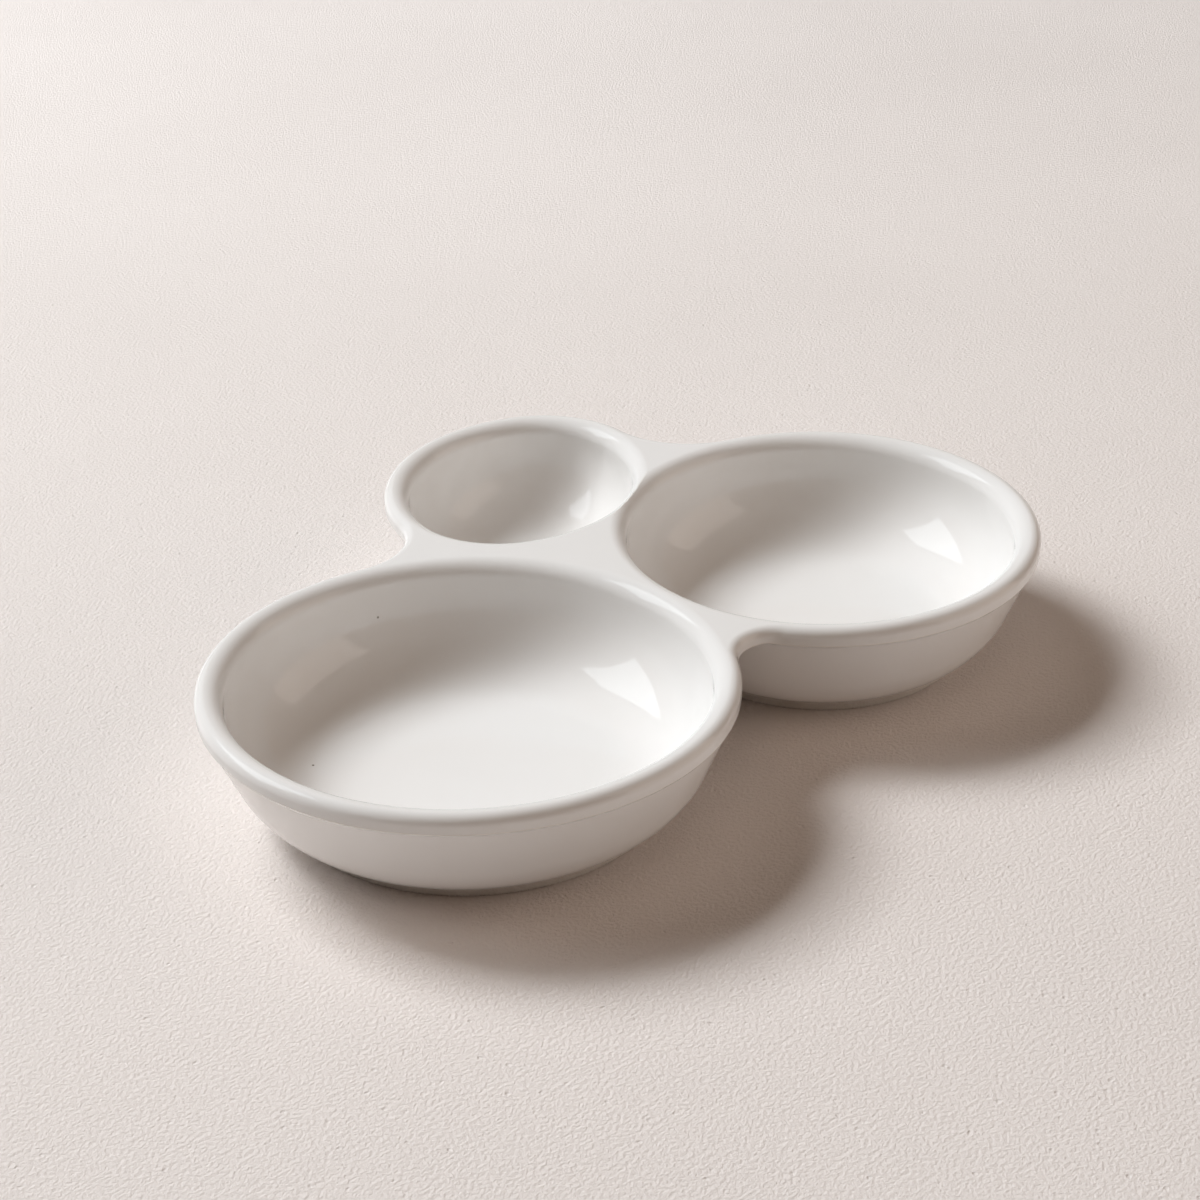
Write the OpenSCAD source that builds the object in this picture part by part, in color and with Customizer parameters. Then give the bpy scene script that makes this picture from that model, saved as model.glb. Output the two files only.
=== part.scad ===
// Divided serving bowl in glazed ceramic: three wells of different size share one rim.
// Z is up and the foot rings stand on Z = 0. X runs from the large bowl to the medium bowl,
// the small bowl is on the +Y side, and the middle of the outline is over the origin.

/* [Large bowl] */
// Greatest width over the rim
large_long = 160; // [150:0.5:175]
// Least width over the rim
large_short = 151; // [145:0.5:159]
// Turn of the greatest width from the X axis
large_turn = -48; // [-52:1:-44]

/* [Medium bowl] */
// Width over the rim of this round bowl
medium_d = 141.5; // [130:0.5:150]

/* [Small bowl] */
// Greatest width over the rim
small_long = 105; // [100:0.5:112]
// Least width over the rim
small_short = 90.5; // [87:0.5:98]
// Turn of the greatest width from the X axis
small_turn = 31; // [26:1:36]

/* [Rim] */
// Height of the rim's top above the table
dish_h = 42; // [38:0.5:50]
// Width of the rolled rim, from its outer edge to the well's wall
rim_w = 8.5; // [7.5:0.25:10]
// Height of the rim's outer band
band_h = 7.4; // [6:0.1:9]
// Rounding of the rim's outer top edge
rim_outer_r = 3; // [2:0.25:4]
// Rounding of the rim's inner top edge
rim_inner_r = 4; // [3:0.25:5]
// Softening of the band's lower edge
band_edge_r = 0.8; // [0.4:0.1:1.5]

/* [Joins between the bowls] */
// Wall left between the large and the medium well
large_medium_wall = 10.7; // [8:0.1:14]
// Wall left between the large and the small well
large_small_wall = 17.5; // [14:0.1:20]
// Wall left between the medium and the small well
medium_small_wall = 5.2; // [4:0.1:9]
// Sweep of the inward curve between the large and the small rim
large_small_sweep_r = 22; // [18:0.5:26]
// Sweep of the inward curve between the small and the medium rim
small_medium_sweep_r = 30; // [24:0.5:36]
// Sweep of the inward curve between the large and the medium rim
large_medium_sweep_r = 12; // [9:0.5:16]

/* [Walls and floors] */
// Rounding between a well's wall and its floor
well_r = 26; // [22:0.5:28]
// Thickness of a bowl's floor above its foot ring
floor_t = 5.4; // [4:0.1:7]
// Set-back of the bowl under the rim's band
band_step = 0.9; // [0.5:0.1:2]
// Radius of the outside's turn from the straight wall to the foot
wall_turn_r = 26; // [22.75:0.325:29.25]

/* [Foot rings] */
// Height of a foot ring
foot_h = 2.6; // [2:0.1:4]
// Width of a foot ring
foot_w = 5; // [4:0.25:7]
// Set-back of a foot ring from the wall above it
foot_step = 0.8; // [0.3:0.1:1.5]
// Rounding of a foot ring's lower edges
foot_edge_r = 0.8; // [0.4:0.1:1]

/* [Hidden] */
$fn = 48;

// One overrun serves all cuts
overrun = 5;

band_z = dish_h - band_h;
floor_z = foot_h + floor_t;

// A direction in plan, and the point where two circles in plan cross on the given side
function way(turn) = [cos(turn), sin(turn)];
function gap(p, q) = norm(q - p);
function along(p, rp, q, rq) = (rp * rp - rq * rq + gap(p, q) * gap(p, q)) / (2 * gap(p, q));
function crossing(p, rp, q, rq, side) =
    let (run = along(p, rp, q, rq), rise = sqrt(rp * rp - run * run), u = (q - p) / gap(p, q))
    p + run * u + side * rise * [-u[1], u[0]];

// A rim outline is set out on four triangles with sides of 3, 4 and 5 parts. Two arcs of end_r are
// struck from points end_off from the middle on the long axis, and two arcs of side_r from points
// side_off from the middle on the short axis. A round rim has a part of 0.
oval_shares = [4, 3, 5];
function part_of(long, short) = (long - short) / 4;
function end_off(long, short) = oval_shares[0] * part_of(long, short);
function side_off(long, short) = oval_shares[1] * part_of(long, short);
function end_r(long, short) = long / 2 - end_off(long, short);
function side_r(long, short) = end_r(long, short) + oval_shares[2] * part_of(long, short);

// A bowl's outside is set out on triangles with sides of 5, 12 and 13 parts. The straight wall
// leans in by 5 parts for each 12 that it falls, and its turn ends at the same slope laid over.
lean_shares = [5, 12, 13];
turn_part = wall_turn_r / lean_shares[2];
turn_rise = turn_part * (lean_shares[1] - lean_shares[0]);
straight_run = (band_z - foot_h - turn_rise) * lean_shares[0] / lean_shares[1];

// Large bowl, set out from its own middle
large_end_r = end_r(large_long, large_short);
large_side_r = side_r(large_long, large_short);
large_end = end_off(large_long, large_short) * way(large_turn);
large_side = side_off(large_long, large_short) * way(large_turn + 90);

// Medium bowl, on the X axis through the large bowl's middle
medium_r = medium_d / 2;
medium_reach = large_side_r + medium_r + large_medium_wall - 2 * rim_w;
medium_mid = [sqrt(pow(medium_reach, 2) - pow(large_side[1], 2)) - large_side[0], 0];

// Small bowl, set off both neighbours by the walls between the wells
small_end_r = end_r(small_long, small_short);
small_side_r = side_r(small_long, small_short);
small_end = end_off(small_long, small_short) * way(small_turn);
small_side = side_off(small_long, small_short) * way(small_turn + 90);
small_mid = small_end + crossing(
    -large_side, large_side_r + small_end_r + large_small_wall - 2 * rim_w,
    medium_mid - small_end - small_side, small_side_r + medium_r + medium_small_wall - 2 * rim_w, 1);

// Middles of the three inward curves of the rim. Each bites a hair into the rims that it joins.
sweep_bite = 0.03;
function sweep_mid(p, rp, q, rq, sweep_r, side) =
    crossing(p, rp + sweep_r - sweep_bite, q, rq + sweep_r - sweep_bite, side);
large_small_sweep = sweep_mid(-large_side, large_side_r, small_mid - small_side, small_side_r,
    large_small_sweep_r, 1);
small_medium_sweep = sweep_mid(small_mid + small_end, small_end_r, medium_mid, medium_r,
    small_medium_sweep_r, 1);
large_medium_sweep = sweep_mid(large_end, large_end_r, medium_mid, medium_r,
    large_medium_sweep_r, -1);

// The outline's reach each way, which puts its middle over the origin
left_x = large_side[0] - large_side_r;
right_x = medium_mid[0] + medium_r;
near_y = large_side[1] - large_side_r;
far_y = small_mid[1] - small_side[1] + small_side_r;
middle = [left_x + right_x, near_y + far_y] / 2;

module revolve(r) let ($rim_r = r) rotate_extrude() children();

module tall_block(corners) {
    translate([0, 0, -overrun]) linear_extrude(dish_h + 3 * overrun) polygon(corners);
}

// Carries a profile round a rim outline. The profile reads $rim_r, the outline's radius there.
// Each arc of an oval keeps to its own share of the plan, and the shares meet face to face.
module around(mid, long, short, turn) {
    translate(mid - middle) rotate(turn) {
        if (long == short) {
            revolve(long / 2) children();
        } else {
            off = end_off(long, short);
            side = side_off(long, short);
            far = [off, 0] + long / oval_shares[0] * [oval_shares[0], oval_shares[1]];
            for (half = [0, 180]) rotate(half) {
                intersection() {
                    translate([off, 0]) revolve(end_r(long, short)) children();
                    tall_block([[off, 0], far, [far[0], -far[1]]]);
                }
                intersection() {
                    translate([0, -side]) revolve(side_r(long, short)) children();
                    tall_block([[-off, 0], [off, 0], far, [-far[0], far[1]]]);
                }
            }
        }
    }
}

module around_large() around([0, 0], large_long, large_short, large_turn) children();
module around_medium() around(medium_mid, medium_d, medium_d, 0) children();
module around_small() around(small_mid, small_long, small_short, small_turn) children();

// Upright half sections, drawn with the bowl's axis at x = 0

// Solid disc under the rim, with the rolled top edge and the softened lower edge of its band
module rim_section() {
    translate([0, band_z]) square([$rim_r - rim_outer_r, band_h]);
    translate([0, band_z]) square([$rim_r - band_edge_r, band_h - rim_outer_r]);
    translate([0, band_z + band_edge_r]) square([$rim_r, band_h - band_edge_r - rim_outer_r]);
    translate([$rim_r - rim_outer_r, dish_h - rim_outer_r]) circle(rim_outer_r);
    translate([$rim_r - band_edge_r, band_z + band_edge_r]) circle(band_edge_r);
}

// The hollow of a well, flared at the top by the rim's inner rounding
module well_section() {
    wall_x = $rim_r - rim_w;
    bend_z = floor_z + well_r;
    roll_z = dish_h - rim_inner_r;
    translate([0, bend_z]) square([wall_x, dish_h + overrun - bend_z]);
    translate([0, floor_z]) square([wall_x - well_r, well_r]);
    intersection() {
        translate([wall_x - well_r, bend_z]) circle(well_r);
        translate([0, floor_z]) square([wall_x, well_r]);
    }
    difference() {
        translate([0, roll_z]) square([wall_x + rim_inner_r, rim_inner_r + overrun]);
        translate([wall_x + rim_inner_r, roll_z]) circle(rim_inner_r);
    }
}

// A bowl's full outside below the rim: a straight wall that turns in to the foot along an arc
module bowl_section() {
    top_x = $rim_r - band_step;
    meet = [top_x - straight_run, foot_h + turn_rise];
    turn_mid = meet + turn_part * [-lean_shares[1], lean_shares[0]];
    polygon([[0, meet[1]], meet, [top_x, band_z], [0, band_z]]);
    translate([0, foot_h]) square([turn_mid[0], turn_rise]);
    intersection() {
        translate(turn_mid) circle(wall_turn_r);
        translate([0, foot_h]) square([$rim_r, turn_rise]);
    }
}

// A foot ring with rounded lower edges
module foot_section() {
    outer_x = $rim_r - band_step - straight_run - turn_rise - foot_step;
    inner_x = outer_x - foot_w;
    translate([inner_x, foot_edge_r]) square([foot_w, foot_h - foot_edge_r]);
    translate([inner_x + foot_edge_r, 0]) square([foot_w - 2 * foot_edge_r, foot_h]);
    for (x = [inner_x + foot_edge_r, outer_x - foot_edge_r])
        translate([x, foot_edge_r]) circle(foot_edge_r);
}

// Cutter for an inward curve: it leaves the same edge roundings on the rim as the discs have
module sweep(mid, sweep_r) {
    translate(mid - middle) rotate_extrude() {
        translate([0, band_z - overrun]) square([sweep_r, band_h + 2 * overrun]);
        difference() {
            translate([0, dish_h - rim_outer_r]) square([sweep_r + rim_outer_r, rim_outer_r + overrun]);
            translate([sweep_r + rim_outer_r, dish_h - rim_outer_r]) circle(rim_outer_r);
        }
        difference() {
            translate([0, band_z - overrun]) square([sweep_r + band_edge_r, overrun + band_edge_r]);
            translate([sweep_r + band_edge_r, band_z + band_edge_r]) circle(band_edge_r);
        }
    }
}

// Slab that fills the plan between the three rims. Its corners are the middles of the arcs
// and of the inward curves that it joins.
module web() {
    translate([0, 0, band_z]) translate(-middle) linear_extrude(band_h) polygon([
        large_end, large_medium_sweep, medium_mid, small_medium_sweep,
        small_mid + small_end, small_mid - small_side, large_small_sweep, -large_side]);
}

module joined_rim() {
    color("whitesmoke") difference() {
        union() {
            around_large() rim_section();
            around_medium() rim_section();
            around_small() rim_section();
            web();
        }
        sweep(large_small_sweep, large_small_sweep_r);
        sweep(small_medium_sweep, small_medium_sweep_r);
        sweep(large_medium_sweep, large_medium_sweep_r);
        around_large() well_section();
        around_medium() well_section();
        around_small() well_section();
    }
}

// Where bowls meet under the rim, the medium one is shaped to the sides of the other two
module large_bowl() {
    color("snow") difference() {
        around_large() bowl_section();
        around_large() well_section();
        around_medium() well_section();
    }
}

module medium_bowl() {
    color("ivory") difference() {
        around_medium() bowl_section();
        around_large() bowl_section();
        around_small() bowl_section();
        around_medium() well_section();
    }
}

module small_bowl() {
    color("seashell") difference() {
        around_small() bowl_section();
        around_small() well_section();
        around_medium() well_section();
    }
}

module large_foot_ring() color("tan") around_large() foot_section();
module medium_foot_ring() color("tan") around_medium() foot_section();
module small_foot_ring() color("tan") around_small() foot_section();

joined_rim();
large_bowl();
medium_bowl();
small_bowl();
large_foot_ring();
medium_foot_ring();
small_foot_ring();
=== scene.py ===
import math

import bmesh
import bpy
import numpy as np
from mathutils import Matrix, Vector


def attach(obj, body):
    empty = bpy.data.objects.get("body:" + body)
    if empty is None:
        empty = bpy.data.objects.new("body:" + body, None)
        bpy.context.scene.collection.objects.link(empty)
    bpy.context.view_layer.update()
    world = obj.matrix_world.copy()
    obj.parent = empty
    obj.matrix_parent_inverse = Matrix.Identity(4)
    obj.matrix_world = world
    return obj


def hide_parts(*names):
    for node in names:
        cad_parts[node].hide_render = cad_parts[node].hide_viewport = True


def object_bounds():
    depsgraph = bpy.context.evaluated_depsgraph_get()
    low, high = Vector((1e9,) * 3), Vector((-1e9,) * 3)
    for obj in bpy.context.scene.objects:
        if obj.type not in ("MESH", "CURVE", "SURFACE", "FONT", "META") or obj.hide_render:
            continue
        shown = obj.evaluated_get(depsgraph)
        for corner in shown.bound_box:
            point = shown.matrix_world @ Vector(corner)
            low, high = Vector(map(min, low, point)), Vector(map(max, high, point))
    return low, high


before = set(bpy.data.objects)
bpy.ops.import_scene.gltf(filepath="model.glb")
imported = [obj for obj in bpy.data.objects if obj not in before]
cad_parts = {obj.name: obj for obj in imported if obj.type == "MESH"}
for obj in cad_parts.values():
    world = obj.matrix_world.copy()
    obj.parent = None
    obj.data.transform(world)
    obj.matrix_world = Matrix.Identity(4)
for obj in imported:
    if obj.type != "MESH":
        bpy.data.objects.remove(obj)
cadLow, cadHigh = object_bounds()
mm = 0.001

# Plan of the bowls in millimetres and degrees. Long and short are the outer oval of a bowl's rim,
# and turn is how its long axis lies.
bowls = {
    "large": {"long": 160.0, "short": 151.0, "turn": -48.0},
    "medium": {"long": 141.5, "short": 141.5, "turn": 0.0},
    "small": {"long": 105.0, "short": 90.5, "turn": 31.0},
}
wellWalls = {"largeMedium": 10.7, "largeSmall": 17.5, "mediumSmall": 5.2}       # clay between two wells
sweepRadii = {"largeSmall": 22.0, "smallMedium": 30.0, "largeMedium": 12.0}     # rim's inward sweeps


def way(degrees):
    return np.array([math.cos(math.radians(degrees)), math.sin(math.radians(degrees))])


def crossing(p, rp, q, rq, side):
    # where circles round p and q meet, on the left of the way from p to q when side is 1
    gap = np.linalg.norm(q - p)
    u = (q - p) / gap
    run = (rp * rp - rq * rq + gap * gap) / (2 * gap)
    return p + run * u + side * math.sqrt(rp * rp - run * run) * np.array([-u[1], u[0]])


def setOutOval(bowl):
    # an oval of four arcs, whose centres stand on 3-4-5 triangles
    part = (bowl["long"] - bowl["short"]) / 4
    bowl["endOff"], bowl["sideOff"] = 4 * part, 3 * part
    bowl["endR"] = bowl["long"] / 2 - bowl["endOff"]
    bowl["sideR"] = bowl["endR"] + 5 * part
    bowl["endWay"] = bowl["endOff"] * way(bowl["turn"])
    bowl["sideWay"] = bowl["sideOff"] * way(bowl["turn"] + 90)


def setOutDish():
    for bowl in bowls.values():
        setOutOval(bowl)
    large, medium, small = bowls["large"], bowls["medium"], bowls["small"]
    overlap = 2 * rim["width"]
    large["mid"] = np.zeros(2)
    reach = large["sideR"] + medium["endR"] + wellWalls["largeMedium"] - overlap
    along = math.sqrt(reach ** 2 - large["sideWay"][1] ** 2) - large["sideWay"][0]
    medium["mid"] = np.array([along, 0])
    small["mid"] = small["endWay"] + crossing(
        -large["sideWay"], large["sideR"] + small["endR"] + wellWalls["largeSmall"] - overlap,
        medium["mid"] - small["endWay"] - small["sideWay"],
        small["sideR"] + medium["endR"] + wellWalls["mediumSmall"] - overlap, 1)

    # centred over the origin, as the frame is
    left = large["sideWay"][0] - large["sideR"]
    right = medium["mid"][0] + medium["endR"]
    near = large["sideWay"][1] - large["sideR"]
    far = small["mid"][1] - small["sideWay"][1] + small["sideR"]
    middle = np.array([left + right, near + far]) / 2
    for bowl in bowls.values():
        bowl["mid"] = bowl["mid"] - middle

    # each inward sweep of the rim touches an arc of one bowl and an arc of the next
    largeSide, largeEnd = large["mid"] - large["sideWay"], large["mid"] + large["endWay"]
    smallSide, smallEnd = small["mid"] - small["sideWay"], small["mid"] + small["endWay"]
    sweeps = []
    for name, p, rp, q, rq, side in (
            ("largeSmall", largeSide, large["sideR"], smallSide, small["sideR"], 1),
            ("smallMedium", smallEnd, small["endR"], medium["mid"], medium["endR"], 1),
            ("largeMedium", largeEnd, large["endR"], medium["mid"], medium["endR"], -1)):
        r = sweepRadii[name]
        sweeps.append((crossing(p, rp + r, q, rq + r, side), r))
    web = [largeEnd, sweeps[2][0], medium["mid"], sweeps[1][0],
           smallEnd, smallSide, sweeps[0][0], largeSide]
    return sweeps, web


# Distances in plan, negative inside
def ovalGap(bowl, x, y):
    c, s = way(bowl["turn"])
    u = np.abs((x - bowl["mid"][0]) * c + (y - bowl["mid"][1]) * s)
    v = np.abs((y - bowl["mid"][1]) * c - (x - bowl["mid"][0]) * s)
    end = np.hypot(u - bowl["endOff"], v) - bowl["endR"]
    side = np.hypot(u, v + bowl["sideOff"]) - bowl["sideR"]
    return np.where(3 * (u - bowl["endOff"]) > 4 * v, end, side)


def insideWeb(x, y):
    odd = np.zeros(np.broadcast(x, y).shape, bool)
    for p, q in zip(web, web[1:] + web[:1]):
        spans = (p[1] > y) != (q[1] > y)
        odd ^= spans & (x < p[0] + (y - p[1]) * (q[0] - p[0]) / (q[1] - p[1]))
    return odd


def rimGap(gaps, x, y):
    webGap = np.max([r - np.hypot(x - mid[0], y - mid[1]) for mid, r in sweeps], axis=0)
    webGap = np.where(insideWeb(x, y), webGap, np.inf)
    return np.minimum(np.min(gaps, axis=0), webGap)


# Joins of two solids, with a rounding of radius r
def roundMax(a, b, r):
    return np.minimum(np.maximum(a, b), -r) + np.hypot(np.maximum(a + r, 0), np.maximum(b + r, 0))


def roundMin(a, b, r):
    return -roundMax(-a, -b, r)


# Rim
rim = {
    "top": 42.0,
    "width": 8.5,           # from the outer edge to the wall of a well
    "band": 5.4,            # height of the outer band
    "bandEdge": 1.0,        # softened lower edge of the band
    "shoulder": 3.4,        # rolled outer edge
    "lip": 5.5,             # rolled edge into a well
    "crease": 1.8,          # glaze that pools under the band
}


def rimSolid(gap, z):
    top = roundMax(gap, z - rim["top"], rim["shoulder"])
    return roundMax(top, rim["top"] - rim["band"] - z, rim["bandEdge"])


# Outside wall of a bowl and the ring that it stands on
wall = {
    "step": 0.45,           # set back under the band
    "turn": 26.0,           # turning in to the foot
    "footEdge": 0.3,        # lower edge, over the foot's groove
    "join": 3.0,            # clay worked into the joins between the bowls
}
foot = {
    "height": 3.4,
    "width": 5.0,
    "step": 0.4,            # set back from the wall above it
    "middle": 25.3,         # middle of the ring, in from the rim's edge
    "edge": 0.45,
    "fill": 0.15,           # glaze in the groove
    "overrun": 1.0,         # how far it runs up into the wall
}


def setOutWall():
    # the straight wall leans 5 in 12, on 5-12-13 triangles, and its turn ends at that lean laid over
    part = wall["turn"] / 13
    wall["top"] = rim["top"] - rim["band"]
    run = (wall["top"] - foot["height"] - 7 * part) * 5 / 12
    wall["turnX"] = -wall["step"] - run - 12 * part
    wall["turnZ"] = foot["height"] + 12 * part
    foot["outer"] = -wall["step"] - run - 7 * part - foot["step"]


def wallSolid(gap, z):
    straight = ((gap + wall["step"]) * 12 - (z - wall["top"]) * 5) / 13
    turned = np.hypot(np.maximum(gap - wall["turnX"], 0), z - wall["turnZ"]) - wall["turn"]
    aboveTurn = 12 * (z - wall["turnZ"]) + 5 * (gap - wall["turnX"]) > 0
    solid = np.maximum(np.where(aboveTurn, straight, turned), z - wall["top"])
    return roundMax(solid, foot["height"] - z, wall["footEdge"])


def footSolid(gap, z):
    ring = np.maximum(gap - foot["outer"], foot["outer"] - foot["width"] - gap)
    ring = roundMax(ring, -z, foot["edge"])
    return np.maximum(ring, z - foot["height"] - foot["overrun"])


# Inside of a well
well = {
    "floor": 8.0,
    "turn": 26.0,           # wall turning into the floor
}


def wellHollow(gap, z):
    across = np.maximum(gap + rim["width"] + well["turn"], 0)
    down = np.minimum(z - well["floor"] - well["turn"], 0)
    return np.hypot(across, down) - well["turn"]


# What the potter's hand leaves: slow waves over the surface, always inward
hand = {
    "wobble": 0.16,
    "ease": 0.1,            # kept back from the frame's own surface
    "dents": (17.0, 21.0),  # shallow dents, by their length along x and y
    "dentShift": (1.3, 0.4),
    "sway": (31.0, -26.0, 19.0),    # one long wave across the whole dish, by its length along x, y and z
    "swayShift": 2.1,
    "from": 3.0,            # the foot stays true, and the waves come in over the next stretch
    "over": 10.0,
}


def wander(x, y, z):
    (dentX, dentY), (shiftX, shiftY) = hand["dents"], hand["dentShift"]
    swayX, swayY, swayZ = hand["sway"]
    waves = (np.sin(x / dentX + shiftX) * np.sin(y / dentY + shiftY)
             + np.sin(x / swayX + y / swayY + z / swayZ + hand["swayShift"]))
    inward = hand["wobble"] * (0.5 + 0.25 * waves) + hand["ease"]
    return inward * np.clip((z - hand["from"]) / hand["over"], 0, 1)


def dishField(x, y, z):
    gaps = [ovalGap(bowl, x, y) for bowl in bowls.values()]
    large, medium, small = [roundMin(wallSolid(gap, z), footSolid(gap, z), foot["fill"]) for gap in gaps]
    body = roundMin(roundMin(large, medium, wall["join"]), small, wall["join"])
    outer = rimGap(gaps, x, y)
    body = np.maximum(roundMin(rimSolid(outer, z), body, rim["crease"]), outer)
    for gap in gaps:
        body = np.maximum(body, roundMax(z - rim["top"], -wellHollow(gap, z), rim["lip"]))
    return body + wander(x, y, z)


# Mesh of the dish: one point in each cell that the surface crosses, drawn onto the surface
mesher = {
    "step": 1.5,                        # spacing over the broad surfaces
    "fineStep": 0.6,                    # spacing in height round the foot and the rim
    "footLayers": (-1.2, 4.8),
    "rimLayers": (31.2, 43.2),
    "relaxRounds": 4,
    "settleRounds": 2,
    "splitPasses": ("tightAndRim", "tight"),
    "footZone": (1.6, 4.5),             # over the foot, and to each side of the ring's middle
    "creaseZone": (2.0, 4.0),           # above and below the band's lower edge, and in from the rim
    "lipZone": (1.6, 0.7),              # above and below the lip's end, and to each side of a well's wall
    "cutSlack": 1e-5,                   # points this near a cut count as on it
    "evenSteps": 2000,                  # tried on the way between two bowls
}
seams = {"rim": 33.2, "foot": 3.2}      # heights at which the named pieces part


def gridLines(low, high, step):
    return np.linspace(low, high, int(math.ceil((high - low) / step)) + 1)


def surfaceNet(field, xs, ys, zs):
    values = field(xs[:, None, None], ys[None, :, None], zs[None, None, :])
    inside = values < 0
    cells = tuple(n - 1 for n in inside.shape)
    corners = [(i, j, k) for i in (0, 1) for j in (0, 1) for k in (0, 1)]
    filled = sum(inside[i:i + cells[0], j:j + cells[1], k:k + cells[2]].astype(np.int8)
                 for i, j, k in corners)
    active = (filled > 0) & (filled < len(corners))
    ids = np.full(cells, -1, np.int64)
    ids[active] = np.arange(active.sum())
    at = np.argwhere(active)

    # the point of a cell is the mean of the places where its edges cross the surface
    lines = (xs, ys, zs)
    total = np.zeros((len(at), 3))
    count = np.zeros(len(at))
    for a in corners:
        for axis in range(3):
            if a[axis]:
                continue
            b = tuple(v + (n == axis) for n, v in enumerate(a))
            va = values[tuple((at + a).T)]
            vb = values[tuple((at + b).T)]
            cross = (va < 0) != (vb < 0)
            share = np.where(cross, va / np.where(cross, va - vb, 1), 0)
            for n in range(3):
                pa, pb = lines[n][at[:, n] + a[n]], lines[n][at[:, n] + b[n]]
                total[:, n] += np.where(cross, pa + share * (pb - pa), 0)
            count += cross
    points = total / count[:, None]

    # one quad round each grid edge that the surface crosses, facing out
    quads = []
    for axis in range(3):
        u, v = (axis + 1) % 3, (axis + 2) % 3
        first = np.take(inside, range(cells[axis]), axis)
        second = np.take(inside, range(1, cells[axis] + 1), axis)
        edge = np.argwhere(first != second)
        edge = edge[(edge[:, u] > 0) & (edge[:, v] > 0)
                    & (edge[:, u] < cells[u]) & (edge[:, v] < cells[v])]
        ring = []
        for du, dv in ((0, 0), (1, 0), (1, 1), (0, 1)):
            cell = edge.copy()
            cell[:, u] -= du
            cell[:, v] -= dv
            ring.append(ids[tuple(cell.T)])
        ring = np.array(ring).T
        leaving = first[tuple(edge.T)]
        quads.append(np.where(leaving[:, None], ring, ring[:, ::-1]))
    return points, np.concatenate(quads)


def slope(field, points, reach=0.02):
    made = np.zeros_like(points)
    for axis in range(3):
        step = np.zeros(3)
        step[axis] = reach
        made[:, axis] = field(*(points + step).T) - field(*(points - step).T)
    return made / (2 * reach)


def drawOnto(field, points, rounds=2, leastSlope=0.05):
    for _ in range(rounds):
        lean = slope(field, points)
        size = np.maximum((lean * lean).sum(1), leastSlope)
        points = points - lean * (field(*points.T) / size)[:, None]
    return points


def relax(field, points, edges, rounds, pull=0.5):
    # each point moves towards the mean of its neighbours and back onto the surface
    ends = np.concatenate([edges, edges[:, ::-1]])
    count = np.bincount(ends[:, 0], minlength=len(points))[:, None]
    for _ in range(rounds):
        total = np.array([np.bincount(ends[:, 0], points[ends[:, 1], axis], len(points))
                          for axis in range(3)]).T
        points = drawOnto(field, points + pull * (total / count - points), 1)
    return points


def meshPoints(mesh):
    points = np.zeros(len(mesh.vertices) * 3)
    mesh.vertices.foreach_get("co", points)
    return points.reshape(-1, 3)


def meshEdges(mesh):
    edges = np.zeros(len(mesh.edges) * 2, np.int64)
    mesh.edges.foreach_get("vertices", edges)
    return edges.reshape(-1, 2)


def settle(field, mesh, rounds):
    points = relax(field, meshPoints(mesh), meshEdges(mesh), rounds)
    mesh.vertices.foreach_set("co", drawOnto(field, points).ravel())
    mesh.update()


def splitEdges(mesh, zone):
    # finer quads where the foot, the crease under the band and the lip turn sharply
    points = meshPoints(mesh)
    x, y, z = points.T
    gaps = np.array([ovalGap(bowl, x, y) for bowl in bowls.values()])
    (footUp, footBy), (creaseBy, creaseIn) = mesher["footZone"], mesher["creaseZone"]
    lipUp, lipBy = mesher["lipZone"]
    tight = (z < foot["height"] + footUp) & (np.abs(gaps + foot["middle"]).min(0) < footBy)
    tight |= (np.abs(z - rim["top"] + rim["band"]) < creaseBy) & (gaps.min(0) > -creaseIn)
    tight |= (np.abs(z - rim["top"] + rim["lip"]) < lipUp) & (np.abs(gaps + rim["width"]).min(0) < lipBy)
    if zone == "tightAndRim":
        tight |= z > seams["rim"]
    shape = bmesh.new()
    shape.from_mesh(mesh)
    edges = [edge for edge in shape.edges if all(tight[end.index] for end in edge.verts)]
    bmesh.ops.subdivide_edges(shape, edges=edges, cuts=1, use_grid_fill=True)
    shape.to_mesh(mesh)
    shape.free()


def makeDishMesh():
    step, fineStep = mesher["step"], mesher["fineStep"]
    footLow, footHigh = mesher["footLayers"]
    rimLow, rimHigh = mesher["rimLayers"]
    reach = np.array([cadLow, cadHigh]) / mm
    margin = 2 * step
    xs = gridLines(reach[0][0] - margin, reach[1][0] + margin, step)
    ys = gridLines(reach[0][1] - margin, reach[1][1] + margin, step)
    zs = np.concatenate([gridLines(footLow, footHigh, fineStep),
                         gridLines(footHigh + step, rimLow, step),
                         gridLines(rimLow + fineStep, rimHigh, fineStep)])
    points, quads = surfaceNet(dishField, xs, ys, zs)
    mesh = bpy.data.meshes.new("dish")
    mesh.from_pydata(points.tolist(), [], quads.tolist())
    settle(dishField, mesh, mesher["relaxRounds"])
    for zone in mesher["splitPasses"]:
        splitEdges(mesh, zone)
        settle(dishField, mesh, mesher["settleRounds"])
    return mesh


sweeps, web = setOutDish()
setOutWall()
dishMesh = makeDishMesh()
print("dish meshed:", len(dishMesh.vertices), "points")

# The coat of glaze lies thin over an edge, side 1, and pools in a hollow, side -1
coats = {
    "thin": {"side": 1, "from": 0.3, "over": 0.9},
    "pooled": {"side": -1, "from": 0.15, "over": 0.6},
}


def bend(field, points, reach=0.3):
    # how sharply the surface turns: above nothing over an edge, below nothing in a hollow
    around = [field(*(points + side * reach * step).T) for step in np.eye(3) for side in (-1, 1)]
    return (sum(around) - 6 * field(*points.T)) / reach ** 2


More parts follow.
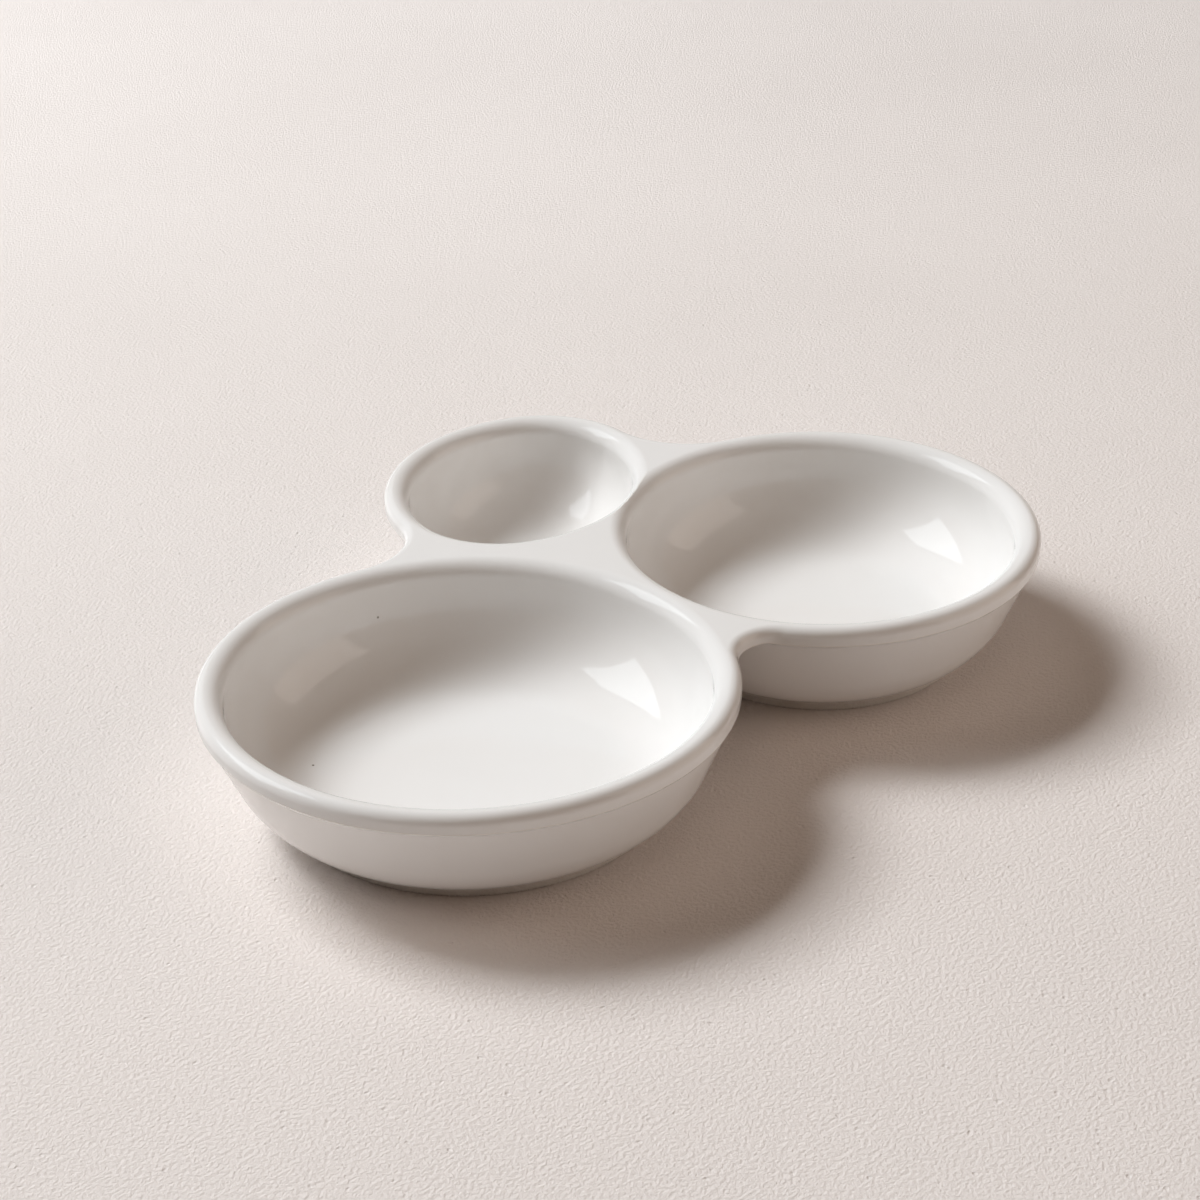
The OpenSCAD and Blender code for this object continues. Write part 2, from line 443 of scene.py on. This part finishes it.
def markCoats(mesh):
    bent = bend(dishField, meshPoints(mesh))
    for name, coat in coats.items():
        amount = (coat["side"] * bent - coat["from"]) / coat["over"]
        mark = mesh.attributes.new(name, "FLOAT", "POINT")
        mark.data.foreach_set("value", np.clip(amount, 0, 1))


# Part the dish into the pieces that the frame names. Each is closed over where it parts.
def parting(name, other):
    # upright plane through the place that is as far in from one bowl's rim as from the other's
    a, b = bowls[name]["mid"], bowls[other]["mid"]
    line = (b - a) / np.linalg.norm(b - a)
    along = np.linspace(0, np.linalg.norm(b - a), mesher["evenSteps"])
    tracks = a[:, None] + line[:, None] * along
    even = np.argmin(np.abs(ovalGap(bowls[name], *tracks) - ovalGap(bowls[other], *tracks)))
    return (*tracks[:, even], 0), (*line, 0)


def closeCut(shape, cut, normal, capMark):
    edges = [edge for edge in cut if isinstance(edge, bmesh.types.BMEdge)]
    if not edges:
        return
    made = bmesh.ops.triangle_fill(shape, edges=edges, use_beauty=True, use_dissolve=False,
                                   normal=normal)
    for face in made["geom"]:
        if isinstance(face, bmesh.types.BMFace):
            face[capMark] = 1


def fieldNormals(mesh):
    # the surface's own normals at each face corner, but flat where the piece is closed over
    normals = slope(dishField, meshPoints(mesh))
    normals /= np.linalg.norm(normals, axis=1)[:, None]
    loops = np.zeros(len(mesh.loops), np.int64)
    mesh.loops.foreach_get("vertex_index", loops)
    normals = normals[loops]
    caps = mesh.attributes["cap"].data
    for face in mesh.polygons:
        if caps[face.index].value:
            normals[face.loop_start:face.loop_start + face.loop_total] = face.normal
    return normals


def carve(name, planes):
    shape = bmesh.new()
    shape.from_mesh(dishMesh)
    capMark = shape.faces.layers.int.new("cap")
    for place, normal in planes:
        cut = bmesh.ops.bisect_plane(
            shape, geom=shape.verts[:] + shape.edges[:] + shape.faces[:], dist=mesher["cutSlack"],
            plane_co=place, plane_no=normal, clear_outer=True)["geom_cut"]
        closeCut(shape, cut, normal, capMark)
    bmesh.ops.recalc_face_normals(shape, faces=shape.faces)
    openEdges = sum(1 for edge in shape.edges if not edge.is_manifold)
    mesh = bpy.data.meshes.new(name)
    shape.to_mesh(mesh)
    shape.free()

    markCoats(mesh)
    normals = fieldNormals(mesh)
    mesh.polygons.foreach_set("use_smooth", np.ones(len(mesh.polygons), bool))
    mesh.transform(Matrix.Scale(mm, 4))
    mesh.normals_split_custom_set(normals.tolist())
    piece = bpy.data.objects.new(name, mesh)
    bpy.context.scene.collection.objects.link(piece)
    print(name, len(mesh.polygons), "faces, open edges:", openEdges)
    return piece


up, down = (0, 0, 1), (0, 0, -1)
rimPlane, footPlane = (0, 0, seams["rim"]), (0, 0, seams["foot"])
pieces = {"joined_rim": carve("rolledRim", [(rimPlane, down)])}
for name in bowls:
    sides = [parting(name, other) for other in bowls if other != name]
    pieces[name + "_bowl"] = carve(name + "Bowl", [(rimPlane, up), (footPlane, down)] + sides)
    pieces[name + "_foot_ring"] = carve(name + "FootRing", [(footPlane, up)] + sides)


# Materials: nodes are added with their inputs, which are values or other nodes' outputs
def addNode(tree, kind, inputs=None, **settings):
    node = tree.nodes.new("ShaderNode" + kind)
    for key, value in settings.items():
        setattr(node, key, value)
    for key, value in (inputs or {}).items():
        if isinstance(value, bpy.types.NodeSocket):
            tree.links.new(value, node.inputs[key])
        else:
            node.inputs[key].default_value = value
    return node


def mixColours(tree, share, first, second):
    # a colour mix keeps its two colours in sockets 6 and 7
    pair = {key: value if isinstance(value, bpy.types.NodeSocket) else (*value, 1)
            for key, value in ((6, first), (7, second))}
    return addNode(tree, "Mix", {0: share, **pair}, data_type="RGBA").outputs[2]


def combine(tree, operation, first, second):
    return addNode(tree, "Math", {0: first, 1: second}, operation=operation).outputs[0]


def spread(tree, value, fromLow, fromHigh, toLow=0.0, toHigh=1.0):
    return addNode(tree, "MapRange", {"Value": value, "From Min": fromLow, "From Max": fromHigh,
                                      "To Min": toLow, "To Max": toHigh}).outputs["Result"]


def roughen(tree, surface, height, depth):
    bump = addNode(tree, "Bump", {"Height": height, "Distance": depth, "Strength": 1.0})
    tree.links.new(bump.outputs["Normal"], surface["Normal"])


# Effects that the glaze, the clay and the floor share
effects = {
    "cloudSpan": (0.34, 0.66),      # the part of a noise that is drawn out to 0 to 1
    "grainSpan": (0.36, 0.64),
    "pitCells": (0.80, 0.84),       # cells with a value above this hold a pit
    "pitEdge": (0.10, 0.22),        # from a pit's floor to its edge, in cells
}


def newEffect(name, inputs, outputs):
    tree = bpy.data.node_groups.new(name, "ShaderNodeTree")
    for label, value in inputs.items():
        made = tree.interface.new_socket(label, in_out="INPUT", socket_type="NodeSocketFloat")
        made.default_value = value
    for label in outputs:
        tree.interface.new_socket(label, in_out="OUTPUT", socket_type="NodeSocketFloat")
    place = addNode(tree, "TexCoord").outputs["Object"]
    return tree, tree.nodes.new("NodeGroupInput").outputs, tree.nodes.new("NodeGroupOutput").inputs, place


def useEffect(tree, group, inputs):
    return addNode(tree, "Group", inputs, node_tree=group).outputs


def makeMottle():
    # broad soft clouds, 0 to 1
    tree, given, made, place = newEffect("mottle", {"Scale": 20.0}, ["Shade"])
    noise = addNode(tree, "TexNoise", {"Vector": place, "Scale": given["Scale"], "Detail": 3.0})
    tree.links.new(spread(tree, noise.outputs["Fac"], *effects["cloudSpan"]), made["Shade"])
    return tree


def makeGrain():
    # fine grain with a few open pits
    tree, given, made, place = newEffect("grain", {"Scale": 500.0, "Pit Scale": 160.0},
                                         ["Height", "Pits"])
    noise = addNode(tree, "TexNoise", {"Vector": place, "Scale": given["Scale"], "Detail": 4.0,
                                       "Roughness": 0.6})
    cells = addNode(tree, "TexVoronoi", {"Vector": place, "Scale": given["Pit Scale"]})
    chosen = addNode(tree, "SeparateColor", {"Color": cells.outputs["Color"]}).outputs["Red"]
    rare = spread(tree, chosen, *effects["pitCells"])
    near = spread(tree, cells.outputs["Distance"], *effects["pitEdge"], 1.0, 0.0)
    pits = combine(tree, "MULTIPLY", rare, near)
    raised = spread(tree, noise.outputs["Fac"], *effects["grainSpan"])
    tree.links.new(combine(tree, "SUBTRACT", raised, pits), made["Height"])
    tree.links.new(pits, made["Pits"])
    return tree


def makeSpecks():
    # rare dark specks: one in a few cells, each no more than a dot
    tree, given, made, place = newEffect("specks", {"Scale": 60.0, "Size": 0.03, "Rarity": 0.9},
                                         ["Mask"])
    cells = addNode(tree, "TexVoronoi", {"Vector": place, "Scale": given["Scale"]})
    chosen = addNode(tree, "SeparateColor", {"Color": cells.outputs["Color"]}).outputs["Red"]
    kept = combine(tree, "GREATER_THAN", chosen, given["Rarity"])
    near = combine(tree, "LESS_THAN", cells.outputs["Distance"], given["Size"])
    tree.links.new(combine(tree, "MULTIPLY", kept, near), made["Mask"])
    return tree


def newMaterial(name):
    # with its node tree and the sockets of its shader
    material = bpy.data.materials.new(name)
    material.use_nodes = True
    return material, material.node_tree, material.node_tree.nodes["Principled BSDF"].inputs


mottle, grain, specks = makeMottle(), makeGrain(), makeSpecks()

# Glaze, with all places and depths in metres
glaze = {
    "full": (0.895, 0.880, 0.864),
    "lean": (0.88, 0.861, 0.839),           # clouds where the coat is leaner
    "thin": (0.86, 0.825, 0.78),            # clay glowing through at a sharp edge
    "pooled": (0.835, 0.835, 0.82),         # deep glaze in the hollows
    "iron": (0.16, 0.12, 0.09),
    "ironEdge": (0.6, 1.4),                 # shares of an iron spot's radius over which it fades out
    "cloudScale": 16.0,
    "roughness": (0.012, 0.034),
    "roughScale": 55.0,
    "waveScale": 42.0,
    "waveDepth": 0.00028,
    "speckScale": 75.0,
    "speckSize": 0.018,
    "speckRarity": 0.93,
}
ironSpots = {
    "byTheWall": {"place": (-0.0542, 0.0361, 0.0274), "radius": 0.00036},
    "onTheFloor": {"place": (-0.1019, 0.0043, 0.0082), "radius": 0.00036},
}
cutleryMarks = {
    "turns": (25, 118),                     # degrees, one for each lay of marks
    "stretch": (30.0, 1500.0, 30.0),        # long one way and fine across
    "span": (0.66, 0.70),                   # only the tops of the noise leave a mark
    "rough": 0.035,
    "top": 0.0105,                          # marks stay on the floors of the wells
    "fade": 0.001,
}


def addIronSpots(tree, place, dots):
    inner, outer = glaze["ironEdge"]
    for spot in ironSpots.values():
        away = addNode(tree, "VectorMath", {0: place, 1: spot["place"]}, operation="DISTANCE")
        dot = spread(tree, away.outputs["Value"], spot["radius"] * inner, spot["radius"] * outer, 1.0, 0.0)
        dots = combine(tree, "MAXIMUM", dots, dot)
    return dots


def addCutleryMarks(tree, place, rough):
    height = addNode(tree, "SeparateXYZ", {0: place}).outputs["Z"]
    low = spread(tree, height, cutleryMarks["top"] - cutleryMarks["fade"], cutleryMarks["top"],
                 cutleryMarks["rough"], 0.0)
    for turn in cutleryMarks["turns"]:
        lay = addNode(tree, "Mapping", {"Vector": place, "Rotation": (0, 0, math.radians(turn)),
                                        "Scale": cutleryMarks["stretch"]}).outputs["Vector"]
        streak = addNode(tree, "TexNoise", {"Vector": lay, "Scale": 1.0, "Detail": 1.0}).outputs["Fac"]
        marks = combine(tree, "MULTIPLY", spread(tree, streak, *cutleryMarks["span"]), low)
        rough = combine(tree, "ADD", rough, marks)
    return rough


def makeGlaze():
    material, tree, surface = newMaterial("whiteGlaze")
    place = addNode(tree, "TexCoord").outputs["Object"]
    clouds = useEffect(tree, mottle, {"Scale": glaze["cloudScale"]})["Shade"]
    colour = mixColours(tree, clouds, glaze["full"], glaze["lean"])
    for coat in ("pooled", "thin"):
        amount = addNode(tree, "Attribute", attribute_name=coat).outputs["Fac"]
        colour = mixColours(tree, amount, colour, glaze[coat])
    dots = useEffect(tree, specks, {"Scale": glaze["speckScale"], "Size": glaze["speckSize"],
                                    "Rarity": glaze["speckRarity"]})["Mask"]
    dots = addIronSpots(tree, place, dots)
    tree.links.new(mixColours(tree, dots, colour, glaze["iron"]), surface["Base Color"])

    patches = useEffect(tree, mottle, {"Scale": glaze["roughScale"]})["Shade"]
    rough = addCutleryMarks(tree, place, spread(tree, patches, 0, 1, *glaze["roughness"]))
    tree.links.new(rough, surface["Roughness"])
    wave = addNode(tree, "TexNoise", {"Vector": place, "Scale": glaze["waveScale"], "Detail": 1.0})
    roughen(tree, surface, wave.outputs["Fac"], glaze["waveDepth"])
    return material


# Bare clay of the foot rings
bareClay = {
    "pale": (0.84, 0.80, 0.755),
    "dark": (0.76, 0.715, 0.66),
    "baseDark": (0.46, 0.415, 0.37),
    "baseDarkTop": 0.0009,                     # the ring is darker towards the bottom, where it stands on the table
    "cloudScale": 70.0,
    "grainScale": 1400.0,
    "pitScale": 420.0,
    "grainDepth": 0.00012,
    "roughness": (0.62, 0.85),
}


def makeClay():
    material, tree, surface = newMaterial("footClay")
    place = addNode(tree, "TexCoord").outputs["Object"]
    clouds = useEffect(tree, mottle, {"Scale": bareClay["cloudScale"]})["Shade"]
    texture = useEffect(tree, grain, {"Scale": bareClay["grainScale"], "Pit Scale": bareClay["pitScale"]})
    colour = mixColours(tree, clouds, bareClay["pale"], bareClay["dark"])
    colour = mixColours(tree, texture["Pits"], colour, bareClay["dark"])
    # the lowest part of the ring is darkened, broken up by the grain
    height = addNode(tree, "SeparateXYZ", {0: place}).outputs["Z"]
    nearBase = spread(tree, height, 0.0, bareClay["baseDarkTop"], 1.0, 0.0)
    baseDarkening = combine(tree, "MULTIPLY", nearBase, texture["Height"])
    tree.links.new(mixColours(tree, baseDarkening, colour, bareClay["baseDark"]), surface["Base Color"])
    tree.links.new(spread(tree, clouds, 0, 1, *bareClay["roughness"]), surface["Roughness"])
    roughen(tree, surface, texture["Height"], bareClay["grainDepth"])
    return material


whiteGlaze, footClay = makeGlaze(), makeClay()
for node, piece in pieces.items():
    bare = node.endswith("foot_ring")
    piece.data.materials.append(footClay if bare else whiteGlaze)
    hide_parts(node)
    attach(piece, "root")
print("glazed")

# Floor
floor = {
    "size": 5.0,
    "pale": (0.90, 0.83, 0.79),
    "dark": (0.87, 0.80, 0.76),
    "speck": (0.55, 0.47, 0.42),
    "roughness": 0.9,
    "shine": 0.15,
    "cloudScale": 4.0,
    "grainScale": 800.0,
    "pitScale": 300.0,
    "grainDepth": 0.0002,
    "speckScale": 45.0,
    "speckSize": 0.012,
    "speckRarity": 0.9,
}


def makePlaster():
    material, tree, surface = newMaterial("plaster")
    clouds = useEffect(tree, mottle, {"Scale": floor["cloudScale"]})["Shade"]
    texture = useEffect(tree, grain, {"Scale": floor["grainScale"], "Pit Scale": floor["pitScale"]})
    dots = useEffect(tree, specks, {"Scale": floor["speckScale"], "Size": floor["speckSize"],
                                    "Rarity": floor["speckRarity"]})["Mask"]
    colour = mixColours(tree, clouds, floor["pale"], floor["dark"])
    tree.links.new(mixColours(tree, dots, colour, floor["speck"]), surface["Base Color"])
    surface["Roughness"].default_value = floor["roughness"]
    surface["Specular IOR Level"].default_value = floor["shine"]
    roughen(tree, surface, texture["Height"], floor["grainDepth"])
    return material


def makeSheet(name, corners):
    mesh = bpy.data.meshes.new(name)
    mesh.from_pydata(corners, [], [(0, 1, 2, 3)])
    sheet = bpy.data.objects.new(name, mesh)
    bpy.context.scene.collection.objects.link(sheet)
    return sheet


def makeFloor():
    half = floor["size"] / 2
    ground = makeSheet("floor", [(-half, -half, 0), (half, -half, 0), (half, half, 0), (-half, half, 0)])
    ground.data.materials.append(makePlaster())


makeFloor()
print("floor laid")


def aimed(azimuth, height):
    # a way in degrees round from +X and up from the table
    azimuth, height = math.radians(azimuth), math.radians(height)
    return Vector((math.cos(azimuth) * math.cos(height), math.sin(azimuth) * math.cos(height),
                   math.sin(height)))


# Camera: the photograph's place and tilt, fitted to the rims and the feet
camera = {
    "place": (-0.4281, -0.5419, 0.4132),
    "heading": 51.27,       # degrees from +X towards +Y
    "pitch": 29.14,         # below the horizon
    "roll": -1.65,
    "lens": 74.93,
    "sensor": 36,
    "nearest": 0.01,
}


def makeCamera():
    data = bpy.data.cameras.new("camera")
    data.lens = camera["lens"]
    data.sensor_width = camera["sensor"]
    data.clip_start = camera["nearest"]
    view = bpy.data.objects.new("camera", data)
    tilt = aimed(camera["heading"], -camera["pitch"]).to_track_quat("-Z", "Y").to_matrix().to_4x4()
    roll = Matrix.Rotation(math.radians(camera["roll"]), 4, "Z")
    view.matrix_world = Matrix.Translation(camera["place"]) @ tilt @ roll
    bpy.context.scene.collection.objects.link(view)
    bpy.context.scene.camera = view


makeCamera()

# Light: a soft window on the left that shows in the glaze, a broad key lamp behind it that throws the
# shadow, a pale card on the right, warm light off the wall behind the camera, and a dim warm room.
# Azimuths are degrees from +X towards +Y, and heights are degrees above the table.
window = {
    "distance": 3.2,
    "azimuth": 127.0,
    "height": 40.0,
    "corners": ((-0.213, 0.281), (-0.347, -0.376), (0.423, -0.096), (0.122, 0.298)),
    "colour": (0.95, 1.0, 1.03),
    "strength": 2.7,
}
lamps = {
    "key": {"distance": 3.5, "azimuth": 106.0, "height": 47.5, "size": (1.4, 1.4), "power": 106.0,
            "colour": (0.99, 1.03, 1.06), "mirrored": False},
    "card": {"distance": 1.6, "azimuth": -47.0, "height": 22.0, "size": (1.5, 1.2), "power": 6.2,
             "colour": (1.0, 0.86, 0.76), "mirrored": True},
    "wall": {"distance": 2.2, "azimuth": 232.0, "height": 62.0, "size": (1.6, 1.6), "power": 3.8,
             "colour": (1.0, 0.74, 0.55), "mirrored": False},
}
room = {
    "colour": (1.0, 0.66, 0.43),
    "strength": 0.022,
    "mirrored": 0.30,       # the room's paler walls, as the glaze mirrors them
}


def makeWindow():
    # corners are shares of the distance, to the right and up as seen from the dish
    out = aimed(window["azimuth"], window["height"])
    right = out.cross((0, 0, 1)).normalized()
    rise = right.cross(out)
    pane = makeSheet("window", [window["distance"] * (out + right * x + rise * y)
                                for x, y in window["corners"]])
    pane.visible_camera = False
    pane.visible_shadow = False     # the key lamp stands behind it
    material, _, surface = newMaterial("window")
    surface["Base Color"].default_value = (0, 0, 0, 1)
    surface["Emission Color"].default_value = (*window["colour"], 1)
    surface["Emission Strength"].default_value = window["strength"]
    pane.data.materials.append(material)


def makeLamp(name, settings):
    data = bpy.data.lights.new(name, "AREA")
    data.shape = "RECTANGLE"
    data.size, data.size_y = settings["size"]
    data.energy = settings["power"]
    data.color = settings["colour"]
    lamp = bpy.data.objects.new(name, data)
    out = aimed(settings["azimuth"], settings["height"])
    lamp.location = out * settings["distance"]
    lamp.rotation_euler = out.to_track_quat("Z", "Y").to_euler()
    lamp.visible_glossy = settings["mirrored"]
    bpy.context.scene.collection.objects.link(lamp)


def makeRoom():
    world = bpy.data.worlds.new("room")
    world.use_nodes = True
    tree = world.node_tree
    background = tree.nodes["Background"].inputs
    background["Color"].default_value = (*room["colour"], 1)
    glossy = addNode(tree, "LightPath").outputs["Is Glossy Ray"]
    tree.links.new(spread(tree, glossy, 0, 1, room["strength"], room["mirrored"]), background["Strength"])
    bpy.context.scene.world = world


makeWindow()
for name, settings in lamps.items():
    makeLamp(name, settings)
makeRoom()
bpy.context.scene.view_settings.view_transform = "Standard"
print("lit")
